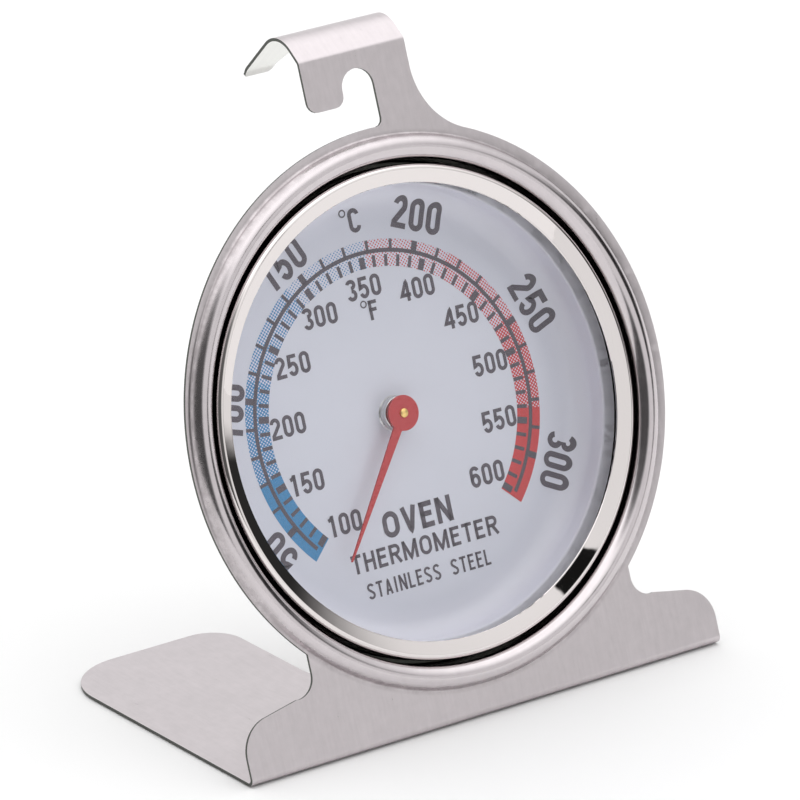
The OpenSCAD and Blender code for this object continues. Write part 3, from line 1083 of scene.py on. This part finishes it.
def pointer_outline():
    """Narrow blade up the y axis with a blunt tip, on a round disc."""
    tip, half, disc = POINTER_TIP, POINTER_HALF, POINTER_DISC
    side = math.degrees(math.asin(half / disc))
    root = (half * 0.93, disc + 0.05)
    blade = [(0.1, tip), (0.04, tip + 0.1), (-0.04, tip + 0.1), (-0.1, tip), (-root[0], root[1])]
    return clean(blade + arc(0, 0, disc, 90 + side, 450 - side, 0.1) + [root])


def build_pointer():
    """Flat blade and disc with a hole for the spindle, turned to its place at rest."""
    red = enamel("pointer_red", (0.55, 0.05, 0.058))
    flat, tris = fill(pointer_outline(), [circle(SPINDLE_R, 32)])
    n = len(flat)
    spin = Matrix.Rotation(-POINTER_REST, 4, "Z")
    verts = [spin @ Vector((x, y, z)) for z in (-POINTER_B, -POINTER_B - POINTER_T) for x, y in flat]
    faces = list(tris) + [(a + n, c + n, b + n) for a, b, c in tris]
    faces += [(b, a, a + n, b + n) for a, b in open_edges(tris)]
    mesh = outward(mesh_from("pointer_blade", verts, faces, [red]))
    pointer = new_object("pointer_blade", mesh, "hand", ["pointer"], AXIS)
    soften_edges(pointer, width=0.04, segments=2, degrees=50)


def build_spindle():
    """Brass shaft with a domed tip and a groove for its clip."""
    metal = brushed("brass", (0.93, 0.66, 0.24), 0.4, grain=(6000, 300, 300), polar=True)
    r, groove_r, groove, end = SPINDLE_R, 0.38, (-7.5, -7.75), -11.0
    turned("spindle_shaft", [
        (0.001, -4.4),
        (0.36, -4.43),
        (0.47, -4.5),
        (r, -4.6),
        (r, groove[0]),
        (groove_r, groove[0]),
        (groove_r, groove[1]),
        (r, groove[1]),
        (r, end + 0.1),
        (r - 0.1, end),
        (0.001, end),
    ], metal, ["spindle"], body="hand", step=0.03, count=48)


def coat_cad_pieces():
    """Materials for the CAD pieces that aren't drawn again here."""
    plain = {
        "stainless_satin": brushed("case_steel", (0.62, 0.60, 0.60), 0.3, grain=(2300, 60, 60)),
        "bright_metal": brushed("bright_metal", (0.72, 0.71, 0.70), 0.25, grain=(4000, 300, 300)),
        "spring_steel": brushed("spring_steel", (0.5, 0.5, 0.52), 0.3, grain=(3000, 200, 200)),
        "plated_steel": brushed("plated_steel", (0.6, 0.6, 0.58), 0.35, grain=(2500, 200, 200)),
        "bimetal": brushed("bimetal", (0.45, 0.41, 0.35), 0.35, 0.1, grain=(300, 3000, 3000)),
        "brass": brushed("brass_inner", (0.80, 0.56, 0.22), 0.28, grain=(4000, 300, 300)),
        "gasket": fibre(),
    }
    slots = {s["node"]: s["material_slot"] for s in frame["record"]["subparts"]}
    for name, node in frame["nodes"].items():
        if not node.hide_render and slots[name] in plain:
            node.data.materials.clear()
            node.data.materials.append(plain[slots[name]])


def build():
    build_stand()
    build_bezel()
    build_lens()
    build_dial()
    print_dial()
    build_bush()
    build_pointer()
    build_spindle()
    coat_cad_pieces()


# ---------- stage ----------

# Directions, from the part, of what the metal mirrors.
SIDE_CARD = (0.88, -0.47, 0)
REAR_CARD = (-0.75, -0.61, 0.26)
GAP = (0.325, -0.814, 0.481)


def world():
    """White studio with dark cards to the right of the dial and at its left, and a small dark gap."""
    studio = bpy.data.worlds.new("studio")
    bpy.context.scene.world = studio
    studio.use_nodes = True
    tree = studio.node_tree
    tree.nodes.clear()

    def calc(operation, a, b):
        return add_node(tree, "Math", {0: a, 1: b}, operation=operation).outputs[0]

    def times(a, b):
        return calc("MULTIPLY", a, b)

    def smooth(value, low, high):
        inputs = {"Value": value, "From Min": low, "From Max": high}
        return add_node(tree, "MapRange", inputs, interpolation_type="SMOOTHSTEP").outputs[0]

    def towards(vector, direction):
        node = add_node(tree, "VectorMath", {0: vector, 1: direction}, operation="DOT_PRODUCT")
        return node.outputs["Value"]

    way = add_node(tree, "TexCoord").outputs["Generated"]
    height = add_node(tree, "SeparateXYZ", {0: way}).outputs[2]
    level = add_node(tree, "VectorMath", {0: way, 1: (1, 1, 0)}, operation="MULTIPLY").outputs[0]
    level = add_node(tree, "VectorMath", {0: level}, operation="NORMALIZE").outputs[0]

    # The side card is a low band, the rear card a wide patch; the gap has a ragged edge.
    side = times(smooth(towards(level, SIDE_CARD), 0.89, 0.965), smooth(height, 0.02, 0.07))
    side = times(side, smooth(height, 0.44, 0.24))
    rear = times(smooth(towards(way, REAR_CARD), 0.60, 0.86), 0.92)
    ragged = add_node(tree, "TexNoise", {"Vector": way, "Scale": 22.0, "Detail": 2.0}).outputs["Fac"]
    gap = calc("ADD", towards(way, GAP), times(ragged, 0.0022))
    gap = times(smooth(gap, 0.9992, 0.9996), 0.99)
    dark = calc("MAXIMUM", times(calc("MAXIMUM", side, rear), 0.97), gap)

    # Brighter overhead, and plain white where the camera looks past the part.
    light = calc("ADD", times(smooth(height, 0.42, 0.9), 0.75), 0.92)
    light = times(light, calc("SUBTRACT", 1.0, dark))
    seen = add_node(tree, "LightPath").outputs["Is Camera Ray"]
    light = calc("MAXIMUM", light, seen)
    back = add_node(tree, "Background", {0: (1, 1, 1, 1), 1: light})
    tree.links.new(back.outputs[0], add_node(tree, "OutputWorld").inputs[0])


def stage(size=4.0):
    """A wide pale floor just under the part."""
    mesh = bpy.data.meshes.new("floor")
    corners = [(-size, -size, 0), (size, -size, 0), (size, size, 0), (-size, size, 0)]
    mesh.from_pydata(corners, [], [(0, 1, 2, 3)])
    mesh.materials.append(Shade("floor", (0.93, 0.93, 0.93), roughness=0.8).material)
    floor = bpy.data.objects.new("floor", mesh)
    bpy.context.scene.collection.objects.link(floor)
    floor.location.z = -0.1 * MM


def camera():
    """A camera on the photograph's bearing, 77 cm from the dial and turned 1.8 degrees about its view."""
    azimuth = math.radians(-35.04)
    elevation = math.radians(20.81)
    roll = math.radians(-1.8)
    distance = 0.7716
    view_width = 83.8574 * MM  # at the dial's distance
    left, above = 2.8774 * MM, 1.2883 * MM  # the view's middle, from the dial's
    sensor = 36

    centre = AXIS @ Vector((0, 0, 0))
    level = math.cos(elevation)
    to_camera = Vector((math.sin(azimuth) * level, -math.cos(azimuth) * level, math.sin(elevation)))
    right = Vector((math.cos(azimuth), math.sin(azimuth), 0))
    target = centre - right * left + right.cross(-to_camera) * above
    data = bpy.data.cameras.new("camera")
    data.sensor_width = sensor
    data.lens = sensor * distance / view_width
    data.clip_start = 0.01
    data.clip_end = 20
    cam = bpy.data.objects.new("camera", data)
    bpy.context.scene.collection.objects.link(cam)
    cam.location = centre + to_camera * distance
    aim = (target - cam.location).to_track_quat("-Z", "Y").to_matrix()
    cam.rotation_euler = (aim @ Matrix.Rotation(roll, 3, "Z")).to_euler()
    bpy.context.scene.camera = cam


bpy.context.scene.view_settings.view_transform = "Standard"
build()
world()
stage()
camera()
